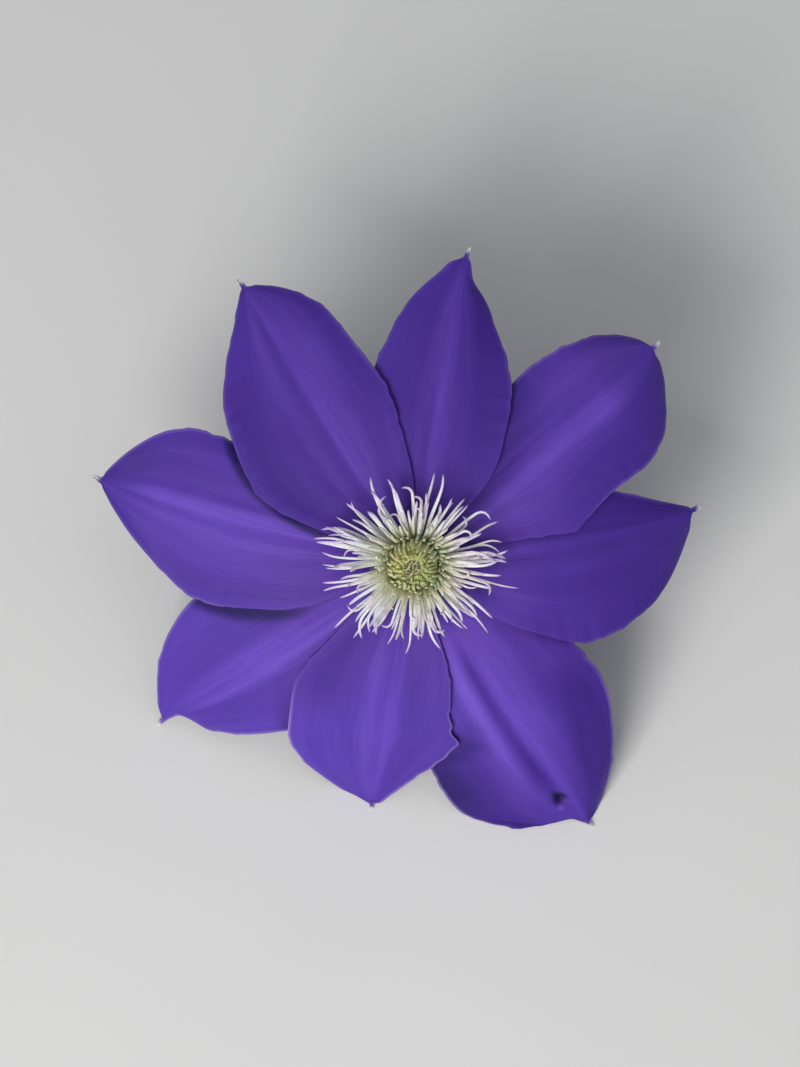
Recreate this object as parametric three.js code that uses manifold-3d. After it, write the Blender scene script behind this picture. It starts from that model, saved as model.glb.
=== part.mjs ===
// Large-flowered clematis, one open flower as picked, lying on a surface.
// Millimetres, +Z up. The face looks up and leans towards -Y; the cut stem lies behind it, at +Y.
import * as THREE from 'three';
import Module from 'manifold-3d';
import { mergeVertices } from 'three/addons/utils/BufferGeometryUtils.js';

const wasm = await Module();
wasm.setup();

// How the flower lies: the ring where the tepals join is the origin of the flower's own frame.
const faceLean = 28;
const faceRoll = -3;
const ringPlace = new THREE.Vector3(3.4, -9.6, 39.6);

// Tepals, thickened for handling. A real one is about 0.3 mm thick.
const tepalThickness = 0.8;
const tepalRoot = 3.35;
const archRise = 5;
const archPower = 1.9;
const overlapGap = 1.45;
const ribDepth = 0.2;
const ruffleHeight = 0.6;
const mucroHalfWidth = 0.4;

// The eight tepals, counter-clockwise from +X. azimuth and reach place the tip, seen along the axis,
// and bend is how far the midrib bows to the left on its way there. Each pair is left, then right:
// half width, how late the margin turns in to the tip, over (1) or under (-1) the neighbour, and how
// far the margin of the free end stands up or hangs. curl lifts the tip, pleat sinks the midrib.
const tepals = [
  {
    azimuth: 9, reach: 56, bend: -2.5, wide: [12, 18.5], widest: 0.56, taper: [0.7, 1.5],
    droop: 14, lies: [-1, 1], ends: [-1, -2], curl: -1, pleat: 0.3,
  },
  {
    azimuth: 41.2, reach: 62.4, bend: 1.5, wide: [11.8, 17.2], widest: 0.48, taper: [3, 2.6],
    droop: 10, lies: [-1, 1], ends: [-0.5, -3], curl: -3, pleat: 0.2,
  },
  {
    azimuth: 80.7, reach: 60.3, bend: 1, wide: [12.8, 14.6], widest: 0.49, taper: [1.5, 0.9],
    droop: 13, lies: [-1, 1], ends: [0.5, -2.5], curl: 1, pleat: 0.3,
  },
  {
    azimuth: 123.2, reach: 63.5, bend: 0.5, wide: [18.2, 13.8], widest: 0.5, taper: [1.05, 2],
    droop: 12, lies: [1, 1], ends: [-1, -0.5], curl: -0.5, pleat: 0.3,
  },
  {
    azimuth: 167.7, reach: 65.2, bend: 1, wide: [17, 15.4], widest: 0.54, taper: [1.1, 2.2],
    droop: 12.5, lies: [1, -1], ends: [0.6, 2], curl: 0.5, pleat: 0.5,
  },
  {
    azimuth: 215.2, reach: 64.8, bend: -0.5, wide: [16.8, 16.8], widest: 0.55, taper: [0.9, 1.65],
    droop: 22, lies: [-1, -1], ends: [-1, 0.4], curl: 0, pleat: 0.5,
  },
  {
    azimuth: 259.9, reach: 55.8, bend: -0.5, wide: [13.6, 19.1], widest: 0.66, taper: [0.6, 1.1],
    droop: 20, lies: [1, 1], ends: [0.2, -1.2], curl: 0, pleat: 0.15,
  },
  {
    azimuth: 301.2, reach: 66.9, bend: -1.5, wide: [19.5, 19.2], widest: 0.49, taper: [1.5, 3.6],
    droop: 19, lies: [-1, -1], ends: [-2.5, -1.6], curl: 0, pleat: 0.9,
  },
];

// Rows run from the root to the tip, columns across. The middle columns carry the three ribs.
const tepalRows = 15;
const tepalColumns = [-1, -0.74, -0.46, -0.3, -0.15, 0, 0.15, 0.3, 0.46, 0.74, 1];

// The boss: rings of filaments, each rooted in the narrow collar where their bases crowd together.
// spread is how much further a ring reaches to the left and the right than it does up and down.
const whiteCollar = [[2.3, 1.65], [3.3, 1.1], [4.4, 1.3], [5.1, 1.9], [5.2, 2.4], [4.7, 2.9], [2.3, 2.9]];
const innerCollar = [[2.3, 3.2], [4, 3.2], [4.3, 3.7], [3.9, 4.4], [2.3, 4.4]];
const styleCore = [[0, 4.5], [1.6, 4.5], [1.8, 5.1], [1.5, 6], [0, 6.3]];
const whiteRings = [
  { count: 22, root: 4.7, height: 2.3, length: 15.4, rise: 32, fall: -12, width: 1.05, spread: 0.1 },
  { count: 20, root: 4.6, height: 2.4, length: 13.4, rise: 43, fall: 4, width: 1.05, spread: 0.1 },
  { count: 18, root: 4.5, height: 2.5, length: 10.8, rise: 54, fall: 20, width: 1, spread: 0.1 },
];
const innerRings = [
  { count: 17, root: 3.8, height: 3.8, length: 9, rise: 47, fall: 132, width: 1, spread: 0 },
  { count: 11, root: 3.1, height: 4, length: 7, rise: 80, fall: 112, width: 0.9, spread: 0 },
];
const styleRings = [
  { count: 7, root: 1.1, height: 5.2, length: 3.8, rise: 86, fall: 74, width: 0.7, spread: 0 },
  { count: 4, root: 0.45, height: 5.5, length: 4.3, rise: 90, fall: 84, width: 0.7, spread: 0 },
];

// The stem under the flower, and the knob that carries tepals and stamens.
const stemRadius = 1.25;
const stemSides = 10;
const stemSteps = 30;
const knobProfile = [
  [0, -8], [1.25, -8], [1.5, -5], [2.3, -2.6], [3, -1.2],
  [3, 0.7], [2, 1.3], [2, 3.9], [1.4, 4.2], [0, 4.2],
];

// Points that the stem passes, on the way to the surface and along it, from the spot below the ring.
const stemWay = [
  [-1.4, 17.4, 17], [-2.9, 28.4, 5.6], [-6.9, 40.4, 1.9], [-12.9, 51.4, 1.3], [-20.9, 60.4, 1.3],
];

const colours = {
  tepal: 0x5438a8,
  stamen: 0xd8d0e0,
  inner: 0xb0b868,
  style: 0x8a8040,
  stem: 0x5c8040,
};

// One seeded draw after another, so that the flower grows the same every time.
let seed = 20;
function draw(low, high) {
  seed = (seed * 1664525 + 1013904223) % 4294967296;
  return low + ((high - low) * seed) / 4294967296;
}

const radians = THREE.MathUtils.degToRad;
const wrap = THREE.MathUtils.euclideanModulo;
const smooth = THREE.MathUtils.smoothstep;
const flowerPlace = new THREE.Matrix4()
  .makeTranslation(ringPlace)
  .multiply(new THREE.Matrix4().makeRotationX(radians(faceLean)))
  .multiply(new THREE.Matrix4().makeRotationY(radians(faceRoll)));
const fromSurface = flowerPlace.clone().invert();

// Closed solids

function solidOf(positions, triangles) {
  const geometry = new THREE.BufferGeometry();
  geometry.setAttribute('position', new THREE.Float32BufferAttribute(positions, 3));
  geometry.setIndex(triangles);
  return geometry;
}

function manifoldOf(geometry) {
  const bare = geometry.clone();
  bare.deleteAttribute('normal');
  bare.deleteAttribute('uv');
  const merged = mergeVertices(bare, 1e-4);
  const mesh = new wasm.Mesh({
    numProp: 3,
    vertProperties: new Float32Array(merged.attributes.position.array),
    triVerts: new Uint32Array(merged.index.array),
  });
  return new wasm.Manifold(mesh);
}

function fuse(geometries) {
  let whole = manifoldOf(geometries[0]);
  for (const geometry of geometries.slice(1)) whole = whole.add(manifoldOf(geometry));
  const { vertProperties, triVerts } = whole.getMesh();
  return solidOf(Array.from(vertProperties), Array.from(triVerts));
}

function turned(profile, sides) {
  const closed = profile[0][0] > 0 ? [...profile, profile[0]] : profile;
  const lathe = new THREE.LatheGeometry(closed.map(([r, z]) => new THREE.Vector2(r, z)), sides);
  return lathe.rotateX(Math.PI / 2);
}

// A rod along points, with a half width and half thickness at each, closed at both ends.
function rod(points, across, halfWidths, halfThicknesses, sides) {
  const positions = [];
  const triangles = [];
  points.forEach((point, i) => {
    const ahead = points[Math.min(i + 1, points.length - 1)];
    const behind = points[Math.max(i - 1, 0)];
    const along = ahead.clone().sub(behind).normalize();
    const side = across.clone().addScaledVector(along, -across.dot(along)).normalize();
    const up = side.clone().cross(along);
    for (let k = 0; k < sides; k += 1) {
      const angle = (2 * Math.PI * (k + 0.5)) / sides;
      const corner = point.clone()
        .addScaledVector(side, Math.cos(angle) * halfWidths[i])
        .addScaledVector(up, Math.sin(angle) * halfThicknesses[i]);
      positions.push(corner.x, corner.y, corner.z);
    }
  });
  for (let i = 0; i + 1 < points.length; i += 1) {
    for (let k = 0; k < sides; k += 1) {
      const a = i * sides + k;
      const b = i * sides + ((k + 1) % sides);
      triangles.push(a, a + sides, b, b, a + sides, b + sides);
    }
  }
  const last = (points.length - 1) * sides;
  for (let k = 1; k + 1 < sides; k += 1) {
    triangles.push(0, k, k + 1);
    triangles.push(last, last + k + 1, last + k);
  }
  return solidOf(positions, triangles);
}

// Tepals

// A value that each tepal sets at its own azimuth, blended smoothly round the flower between them.
function roundTheFlower(azimuth, key) {
  for (let i = 0; i < tepals.length; i += 1) {
    const from = tepals[i];
    const to = tepals[(i + 1) % tepals.length];
    const span = wrap(to.azimuth - from.azimuth, 360);
    const past = wrap(azimuth - from.azimuth, 360);
    if (past <= span) {
      const share = (1 - Math.cos((Math.PI * past) / span)) / 2;
      return from[key] + (to[key] - from[key]) * share;
    }
  }
  return 0;
}

// The arched surface that all tepals share, so that neighbours follow each other where they overlap.
function archHeight(x, y) {
  const azimuth = THREE.MathUtils.radToDeg(Math.atan2(y, x));
  const out = Math.hypot(x, y) / roundTheFlower(azimuth, 'reach');
  return archRise * out * (1 - out) - roundTheFlower(azimuth, 'droop') * out ** archPower;
}

// How far it is, at x from the axis, from a tepal's midrib to halfway to its neighbour on that side.
function halfwayOver(index, x, side) {
  const neighbour = tepals.at(side === 0 ? (index + 1) % tepals.length : index - 1);
  const apart = Math.abs(wrap(neighbour.azimuth - tepals[index].azimuth + 180, 360) - 180);
  return x * Math.tan(radians(apart / 2));
}

// Half a tepal's width at x from the axis, on its left (0) or right (1): a narrow claw under the
// stamens, side by side with its neighbours, then a broad blade and a fine point.
function halfWidth(index, x, side) {
  const { reach, wide, taper, widest } = tepals[index];
  const peak = widest * reach;
  const claw = halfwayOver(index, x, side) * (0.8 + 1.4 * smooth(x, 7, 14));
  if (x < peak) return Math.min(claw, wide[side] * Math.sin((Math.PI / 2) * (x / peak)));
  const past = Math.min((x - peak) / (0.965 * reach - peak), 1);
  const blade = wide[side] * Math.cos((Math.PI / 2) * past ** taper[side]);
  return Math.max(blade, mucroHalfWidth * (1.6 - x / reach));
}

// A tepal's middle surface, at a share of its length and from -1 (right margin) to 1 (left) across.
function tepalPoint(index, along, across) {
  const tepal = tepals[index];
  const side = across > 0 ? 0 : 1;
  const x = tepalRoot + (tepal.reach - tepalRoot) * along;
  const lobes = 1 + 0.03 * Math.sin(17 * along + 2.3 * index + across) * Math.abs(across);
  const y = across * halfWidth(index, x, side) * lobes;
  const bow = tepal.bend * Math.sin(Math.PI * along);
  const turn = radians(tepal.azimuth);
  const planX = x * Math.cos(turn) - (y + bow) * Math.sin(turn);
  const planY = x * Math.sin(turn) + (y + bow) * Math.cos(turn);

  // Margins part from the shared surface, up where they lie over a neighbour and down where under.
  const lift = (tepal.lies[side] * smooth(x, tepalRoot, 7.5) * overlapGap) / 2;
  const part = (lift * Math.abs(y)) / halfwayOver(index, x, side);

  // Three ribs sink into the face, the midrib most. The free end cups, curls and ruffles.
  const ribbed = smooth(along, 0.1, 0.35) * (1 - smooth(along, 0.85, 1));
  const ribs = Math.abs(across) < 0.45 ? Math.cos((Math.PI * across) / 0.3) ** 2 : 0;
  const midrib = Math.max(0, 1 - Math.abs(across) / 0.2);
  const free = smooth(along, 0.62, 0.92);
  const cup = tepal.ends[side] * across ** 2 * free;
  const curl = tepal.curl * smooth(along, 0.75, 1);
  const ruffle = ruffleHeight * Math.sin(15 * along + 1.7 * index + 1.5 * across) * across ** 2 * free;
  const relief = cup + curl + ruffle - ribbed * (ribDepth * ribs + tepal.pleat * midrib);
  const height = archHeight(planX, planY) + part + relief;
  return new THREE.Vector3(planX, planY, height);
}

// A tip that reaches the surface bends up and lies on it instead of passing through.
function restOnSurface(point) {
  const placed = point.clone().applyMatrix4(flowerPlace);
  const low = 0.44 * tepalThickness;
  const soft = 0.5;
  const above = placed.z - low;
  placed.z = low + (above + Math.sqrt(above * above + soft * soft)) / 2;
  return placed.applyMatrix4(fromSurface);
}

function tepalSolid(index) {
  const positions = [];
  const triangles = [];
  const columns = tepalColumns.length;
  for (const face of [0.5, -0.5]) {
    for (let i = 0; i <= tepalRows; i += 1) {
      const along = 1 - (1 - i / tepalRows) ** 1.15;
      for (const across of tepalColumns) {
        const point = restOnSurface(tepalPoint(index, along, across));
        positions.push(point.x, point.y, point.z + face * tepalThickness);
      }
    }
  }
  const under = (tepalRows + 1) * columns;
  for (let i = 0; i < tepalRows; i += 1) {
    for (let j = 0; j + 1 < columns; j += 1) {
      const a = i * columns + j;
      const b = a + 1;
      const c = a + columns;
      const d = c + 1;
      triangles.push(a, c, b, b, c, d);
      triangles.push(a + under, b + under, c + under, b + under, d + under, c + under);
    }
  }
  const rim = [];
  for (let j = 0; j < columns; j += 1) rim.push(j);
  for (let i = 1; i <= tepalRows; i += 1) rim.push(i * columns + columns - 1);
  for (let j = columns - 2; j >= 0; j -= 1) rim.push(tepalRows * columns + j);
  for (let i = tepalRows - 1; i > 0; i -= 1) rim.push(i * columns);
  rim.forEach((a, k) => {
    const b = rim[(k + 1) % rim.length];
    triangles.push(a, b, a + under, b, b + under, a + under);
  });
  return solidOf(positions, triangles);
}

// Stamens and styles

// A filament leaves its root at the angle rise and bends over to the angle fall.
function filament(ring, turn, segments) {
  const stretch = 1 + ring.spread * Math.cos(2 * turn);
  const length = ring.length * stretch * draw(0.86, 1.06);
  const sway = draw(-0.22, 0.22);
  const rise = ring.rise + draw(-6, 6);
  const fall = ring.fall + draw(-9, 9);
  const width = ring.width * draw(0.85, 1.05);
  const radial = new THREE.Vector3(Math.cos(turn), Math.sin(turn), 0);
  const sideways = new THREE.Vector3(-Math.sin(turn), Math.cos(turn), 0);
  const points = [radial.clone().multiplyScalar(ring.root).setZ(ring.height)];
  for (let i = 0; i < segments; i += 1) {
    const share = (i + 0.5) / segments;
    const angle = radians(rise + (fall - rise) * share);
    const step = radial.clone().multiplyScalar(Math.cos(angle)).setZ(Math.sin(angle));
    step.addScaledVector(sideways, sway * share * 2);
    points.push(points[i].clone().addScaledVector(step, length / segments));
  }
  const taper = points.map((_, i) => 1 - 0.6 * (i / segments) ** 2);
  const halfWidths = taper.map((share) => (width / 2) * share);
  const halfThicknesses = taper.map((share) => 0.3 * share);
  return rod(points, sideways, halfWidths, halfThicknesses, 4);
}

function tuft(collar, rings, segments) {
  const pieces = [turned(collar, 24)];
  rings.forEach((ring, level) => {
    for (let i = 0; i < ring.count; i += 1) {
      const turn = (2 * Math.PI * (i + 0.5 * level + draw(-0.22, 0.22))) / ring.count;
      pieces.push(filament(ring, turn, segments));
    }
  });
  return fuse(pieces);
}

// Stem

function stemSolid() {
  const way = stemWay.map(([x, y, z]) => {
    const point = new THREE.Vector3(ringPlace.x + x, ringPlace.y + y, z);
    return point.applyMatrix4(fromSurface);
  });
  const top = [new THREE.Vector3(0, 0, -4), new THREE.Vector3(0, 0, -11)];
  const line = new THREE.CatmullRomCurve3([...top, ...way], false, 'centripetal');
  const points = line.getSpacedPoints(stemSteps);
  const radii = points.map(() => stemRadius);
  const tube = rod(points, new THREE.Vector3(1, 0, 0), radii, radii, stemSides);
  return fuse([turned(knobProfile, 20), tube]);
}

// The flower, put together

const flower = new THREE.Group();
flower.applyMatrix4(flowerPlace);

function add(name, geometry, colour, roughness) {
  const material = new THREE.MeshStandardMaterial({ color: colour, roughness, metalness: 0 });
  const mesh = new THREE.Mesh(geometry, material);
  mesh.name = name;
  flower.add(mesh);
}

add('stem', stemSolid(), colours.stem, 0.6);
tepals.forEach((_, index) => add(`tepal_${index + 1}`, tepalSolid(index), colours.tepal, 0.5));
add('stamens', tuft(whiteCollar, whiteRings, 4), colours.stamen, 0.6);
add('inner_stamens', tuft(innerCollar, innerRings, 4), colours.inner, 0.6);
add('styles', tuft(styleCore, styleRings, 3), colours.style, 0.7);

const part = new THREE.Group();
part.add(flower);

export default part;
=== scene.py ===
import math

import bpy
import numpy as np
from mathutils import Matrix, Vector


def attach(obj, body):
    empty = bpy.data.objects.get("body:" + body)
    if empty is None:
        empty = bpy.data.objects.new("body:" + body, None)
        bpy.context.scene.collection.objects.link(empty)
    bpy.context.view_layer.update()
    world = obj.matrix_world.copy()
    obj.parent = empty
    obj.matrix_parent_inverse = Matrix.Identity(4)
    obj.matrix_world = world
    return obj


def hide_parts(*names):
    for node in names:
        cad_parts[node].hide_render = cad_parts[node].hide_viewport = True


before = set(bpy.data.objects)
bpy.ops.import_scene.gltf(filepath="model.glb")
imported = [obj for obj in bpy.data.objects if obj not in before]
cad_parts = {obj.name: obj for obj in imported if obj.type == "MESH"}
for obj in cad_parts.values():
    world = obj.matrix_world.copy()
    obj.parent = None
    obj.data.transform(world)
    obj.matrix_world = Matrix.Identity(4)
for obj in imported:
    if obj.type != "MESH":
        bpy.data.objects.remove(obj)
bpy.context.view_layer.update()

# How the flower lies
# One open flower, cut with a short stalk and laid down. It leans on the tips of its lowest tepals
# and on the stalk, so the face looks up and a little forward. The ring of tepals is its own origin.

FACE_LEAN = math.radians(28)
FACE_ROLL = math.radians(-3)
RING_PLACE = np.array((3.4, -9.6, 39.6))
flower_turn = np.array(Matrix.Rotation(FACE_LEAN, 3, "X") @ Matrix.Rotation(FACE_ROLL, 3, "Y"))


def placed(points):
    """Points of the flower's own frame, in millimetres, where they lie above the surface."""
    return points @ flower_turn.T + RING_PLACE


# Stalk
# A thin green flower stalk, ribbed along its length and downy, cut off clean. It swells into the
# small round knob that carries the tepals and the stamens, and curves down to lie on the surface.

MM = 0.001
STALK_RADIUS = 1.25
STALK_RIBS = 6
RIB_SHARE = 0.07
STALK_SIDES = 48
STALK_RINGS = 170
STALK_LOWEST = 0.03
KNOB = [
    (1.25, -8.0), (1.32, -6.6), (1.5, -5.0), (1.85, -3.7), (2.3, -2.6), (2.75, -1.75),
    (2.98, -1.1), (3.05, -0.4), (3.0, 0.4), (2.7, 0.95), (2.1, 1.4), (2.0, 2.4), (1.9, 3.7), (1.3, 4.15),
]
STALK_TOP = np.array(((0, 0, -4), (0, 0, -11)))
STALK_WAY = np.array(
    ((-1.4, 17.4, 17), (-2.9, 28.4, 5.6), (-6.9, 40.4, 1.9), (-12.9, 51.4, 1.3), (-20.9, 60.4, 1.3))
)


def curve_through(points, count, steps=60):
    """Evenly spaced points on a smooth curve through the given ones, end to end."""
    ends = [2 * points[0] - points[1], *points, 2 * points[-1] - points[-2]]
    line = []
    for before, start, end, after in zip(ends, ends[1:], ends[2:], ends[3:]):
        gaps = [np.linalg.norm(b - a) ** 0.5 for a, b in ((before, start), (start, end), (end, after))]
        leave = (start - before) / gaps[0] - (end - before) / (gaps[0] + gaps[1]) + (end - start) / gaps[1]
        arrive = (end - start) / gaps[1] - (after - start) / (gaps[1] + gaps[2]) + (after - end) / gaps[2]
        t = np.linspace(0, 1, steps, endpoint=False)[:, None]
        line.append(
            (2 * t**3 - 3 * t**2 + 1) * start
            + (t**3 - 2 * t**2 + t) * leave * gaps[1]
            + (3 * t**2 - 2 * t**3) * end
            + (t**3 - t**2) * arrive * gaps[1]
        )
    line = np.vstack([*line, points[-1:]])
    walked = np.concatenate([[0], np.cumsum(np.linalg.norm(np.diff(line, axis=0), axis=1))])
    stops = np.linspace(0, walked[-1], count)
    return np.stack([np.interp(stops, walked, line[:, k]) for k in range(3)], axis=1)


def rod(line, side, half_widths, half_depths, sides=STALK_SIDES, ribs=0, rib_share=0.0):
    """Rings of points round a line, as an array of rings, sides and coordinates."""
    along = np.gradient(line, axis=0)
    along /= np.linalg.norm(along, axis=1, keepdims=True)
    side = side - along * np.sum(side * along, axis=1, keepdims=True)
    side /= np.linalg.norm(side, axis=1, keepdims=True)
    up = np.cross(side, along)
    angle = 2 * np.pi * (np.arange(sides) + 0.5) / sides
    swell = 1 + rib_share * np.cos(ribs * angle)
    wide = (np.cos(angle) * swell)[None, :, None] * side[:, None, :] * half_widths[:, None, None]
    deep = (np.sin(angle) * swell)[None, :, None] * up[:, None, :] * half_depths[:, None, None]
    return line[:, None, :] + wide + deep


def turned(profile, angle):
    """Rings of points round the flower's axis, from a profile of radii and heights."""
    circle = np.stack([np.cos(angle), np.sin(angle)], axis=1)
    return np.array([np.column_stack([r * circle, np.full(len(angle), z)]) for r, z in profile])


def skin_of(rings, start=0):
    """The faces of a closed tube of rings, with an end face at each end."""
    count, sides = rings.shape[:2]
    ring, k = np.meshgrid(np.arange(count - 1), np.arange(sides), indexing="ij")
    a = start + ring * sides + k
    b = start + ring * sides + (k + 1) % sides
    faces = np.stack([a, a + sides, b + sides, b], axis=-1).reshape(-1, 4).tolist()
    faces.append(list(range(start, start + sides)))
    last = start + (count - 1) * sides
    faces.append(list(range(last + sides - 1, last - 1, -1)))
    return faces


def make_piece(name, points, faces, materials, nodes=(), marks=None, end_faces=()):
    """A piece of the flower from points in millimetres, on the body, with its marks for colour."""
    mesh = bpy.data.meshes.new(name)
    mesh.from_pydata((points * MM).tolist(), [], faces)
    for mark, values in (marks or {}).items():
        layer = mesh.attributes.new(mark, "FLOAT", "POINT")
        layer.data.foreach_set("value", np.asarray(values, np.float32).ravel())
    mesh.shade_smooth()
    for material in materials:
        mesh.materials.append(material)
    for face in end_faces:
        mesh.polygons[face].material_index = 1
        mesh.polygons[face].use_smooth = False
    piece = bpy.data.objects.new(name, mesh)
    bpy.context.scene.collection.objects.link(piece)
    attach(piece, "root")
    if nodes:
        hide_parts(*nodes)
    return piece


def put(tree, kind, inputs=None, **settings):
    """Adds a shader node, with its settings, and with each input set or joined to another node."""
    made = tree.nodes.new("ShaderNode" + kind)
    for name, value in settings.items():
        setattr(made, name, value)
    for name, value in (inputs or {}).items():
        if isinstance(value, bpy.types.NodeSocket):
            tree.links.new(value, made.inputs[name])
        else:
            made.inputs[name].default_value = value
    return made


def count_up(tree, operation, first, second=0.0, third=0.0, clamp=False):
    """One step of arithmetic on values over the surface."""
    inputs = {0: first, 1: second, 2: third}
    return put(tree, "Math", inputs, operation=operation, use_clamp=clamp).outputs[0]


def mark_of(tree, name):
    """A value that the mesh carries on its points."""
    return put(tree, "Attribute", attribute_type="GEOMETRY", attribute_name=name).outputs["Fac"]


def grade(tree, value, *stops):
    """A run of colours along a value, from stops of a place and a colour."""
    made = put(tree, "ValToRGB", {"Fac": value})
    elements = made.color_ramp.elements
    while len(elements) < len(stops):
        elements.new(0.5)
    for element, (place, colour) in zip(elements, stops):
        element.position = place
        element.color = (*colour, 1)
    return made.outputs["Color"]


def level(tree, value, *stops):
    """The same for a plain number, from stops of a place and a value."""
    return grade(tree, value, *((place, (number,) * 3) for place, number in stops))


def tint(tree, share, first, second, way="MIX"):
    """Mixes two colours by a share that varies over the surface."""
    made = put(tree, "Mix", data_type="RGBA", blend_type=way, clamp_factor=True)
    for place, value in ((0, share), (6, first), (7, second)):
        if isinstance(value, bpy.types.NodeSocket):
            tree.links.new(value, made.inputs[place])
        elif place:
            made.inputs[place].default_value = (*value, 1)
        else:
            made.inputs[place].default_value = value
    return made.outputs[2]


def new_group(name, inputs, outputs):
    """An empty node group with named inputs and outputs."""
    group = bpy.data.node_groups.new(name, "ShaderNodeTree")
    for socket, value in inputs.items():
        made = group.interface.new_socket(socket, in_out="INPUT", socket_type="NodeSocketFloat")
        made.default_value = value
    for socket in outputs:
        group.interface.new_socket(socket, in_out="OUTPUT", socket_type="NodeSocketFloat")
    return group, group.nodes.new("NodeGroupInput").outputs, group.nodes.new("NodeGroupOutput").inputs


# Fibres run lengthwise through stalk, tepals and stamens: narrow streaks, drawn out along the piece.
fibres, given, handed = new_group(
    "lengthwise_fibres", {"Across": 0, "Along": 0, "Seed": 0, "Lines": 20, "Stretch": 2}, ["Fibre"]
)
crosswise = count_up(fibres, "MULTIPLY_ADD", given["Across"], given["Lines"], given["Seed"])
lengthwise = count_up(fibres, "MULTIPLY", given["Along"], given["Stretch"])
where = put(fibres, "CombineXYZ", {"X": crosswise, "Y": lengthwise, "Z": given["Seed"]})
streaks = put(fibres, "TexNoise", {"Vector": where.outputs[0], "Scale": 1, "Detail": 4, "Roughness": 0.6})
spread = put(
    fibres, "MapRange", {"Value": streaks.outputs["Fac"], "From Min": 0.3, "From Max": 0.7}, clamp=True
)
fibres.links.new(spread.outputs[0], handed["Fibre"])

# Cells give every living surface a fine grain and a soft mottle of lighter and darker patches.
cells, given, handed = new_group(
    "cells_and_mottle", {"Grain": 2500, "Patch": 60, "Seed": 0}, ["Grain", "Mottle"]
)
position = put(cells, "TexCoord").outputs["Object"]
shifted = put(cells, "VectorMath", {0: position, 1: given["Seed"]}, operation="ADD").outputs[0]
grain = put(cells, "TexNoise", {"Vector": shifted, "Scale": given["Grain"], "Detail": 2})
patch = put(
    cells, "TexNoise", {"Vector": shifted, "Scale": given["Patch"], "Detail": 3, "Roughness": 0.55}
)
patches = put(
    cells, "MapRange", {"Value": patch.outputs["Fac"], "From Min": 0.32, "From Max": 0.68}, clamp=True
)
cells.links.new(grain.outputs["Fac"], handed["Grain"])
cells.links.new(patches.outputs[0], handed["Mottle"])


def effect(tree, group, **inputs):
    """Places a shared effect in a material, with that material's own values."""
    made = tree.nodes.new("ShaderNodeGroup")
    made.node_tree = group
    for name, value in inputs.items():
        if isinstance(value, bpy.types.NodeSocket):
            tree.links.new(value, made.inputs[name])
        else:
            made.inputs[name].default_value = value
    return made.outputs


def finish_of(name, **constants):
    """A new material: its node tree and its surface shader, with what is the same all over set."""
    material = bpy.data.materials.new(name)
    material.use_nodes = True
    surface = material.node_tree.nodes["Principled BSDF"]
    for socket, value in constants.items():
        surface.inputs[socket.replace("_", " ")].default_value = value
    return material, material.node_tree, surface


def relief_of(tree, surface, height, distance, strength=1.0):
    """Fine relief from a height in the material."""
    bump = put(tree, "Bump", {"Height": height, "Distance": distance, "Strength": strength})
    tree.links.new(bump.outputs[0], surface.inputs["Normal"])


def grained(tree, surface, colour, grain, roughest, smoothest, depth):
    """Joins a colour to the surface, and a roughness and a fine relief that follow its grain."""
    tree.links.new(colour, surface.inputs["Base Color"])
    tree.links.new(level(tree, grain, (0.3, roughest), (0.7, smoothest)), surface.inputs["Roughness"])
    relief_of(tree, surface, grain, depth)


STALK_GREEN = (0.072, 0.175, 0.034)
STALK_LIGHT_GREEN = (0.118, 0.235, 0.058)
STALK_RIB_GREEN = (0.25, 0.36, 0.15)
STALK_FLUSH = (0.13, 0.055, 0.06)
STALK_FIBRES = ((0, (0.05, 0.12, 0.03)), (1, (0.24, 0.36, 0.14)))
CUT_GREEN = (0.30, 0.36, 0.16)
CUT_PITH = (0.62, 0.62, 0.42)

stalk_skin, tree, surface = finish_of("green_stalk", Sheen_Weight=0.25, Sheen_Roughness=0.4)
along = mark_of(tree, "along")
fibre = effect(tree, fibres, Across=mark_of(tree, "turn"), Along=along, Lines=26, Stretch=9)
cell = effect(tree, cells, Grain=2600, Patch=170)
ribbed = level(tree, mark_of(tree, "rib"), (0.2, 0.0), (0.85, 0.7))
green = tint(tree, cell["Mottle"], STALK_GREEN, STALK_LIGHT_GREEN)
green = tint(tree, ribbed, green, STALK_RIB_GREEN)
flush = level(tree, along, (0.0, 0.35), (0.13, 0.1), (0.5, 0.0), (0.97, 0.0), (1.0, 0.3))
green = tint(tree, count_up(tree, "MULTIPLY", flush, cell["Mottle"]), green, STALK_FLUSH)
green = tint(tree, 0.35, green, grade(tree, fibre["Fibre"], *STALK_FIBRES))
tree.links.new(green, surface.inputs["Base Color"])
tree.links.new(level(tree, fibre["Fibre"], (0, 0.62), (1, 0.46)), surface.inputs["Roughness"])
relief_of(tree, surface, count_up(tree, "ADD", fibre["Fibre"], cell["Grain"]), 0.05 * MM)

cut_end, tree, surface = finish_of("cut_stalk_end")
cell = effect(tree, cells, Grain=3800, Patch=900)
pith = grade(tree, cell["Mottle"], (0, CUT_GREEN), (1, CUT_PITH))
grained(tree, surface, pith, cell["Grain"], 0.55, 0.4, 0.08 * MM)

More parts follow.
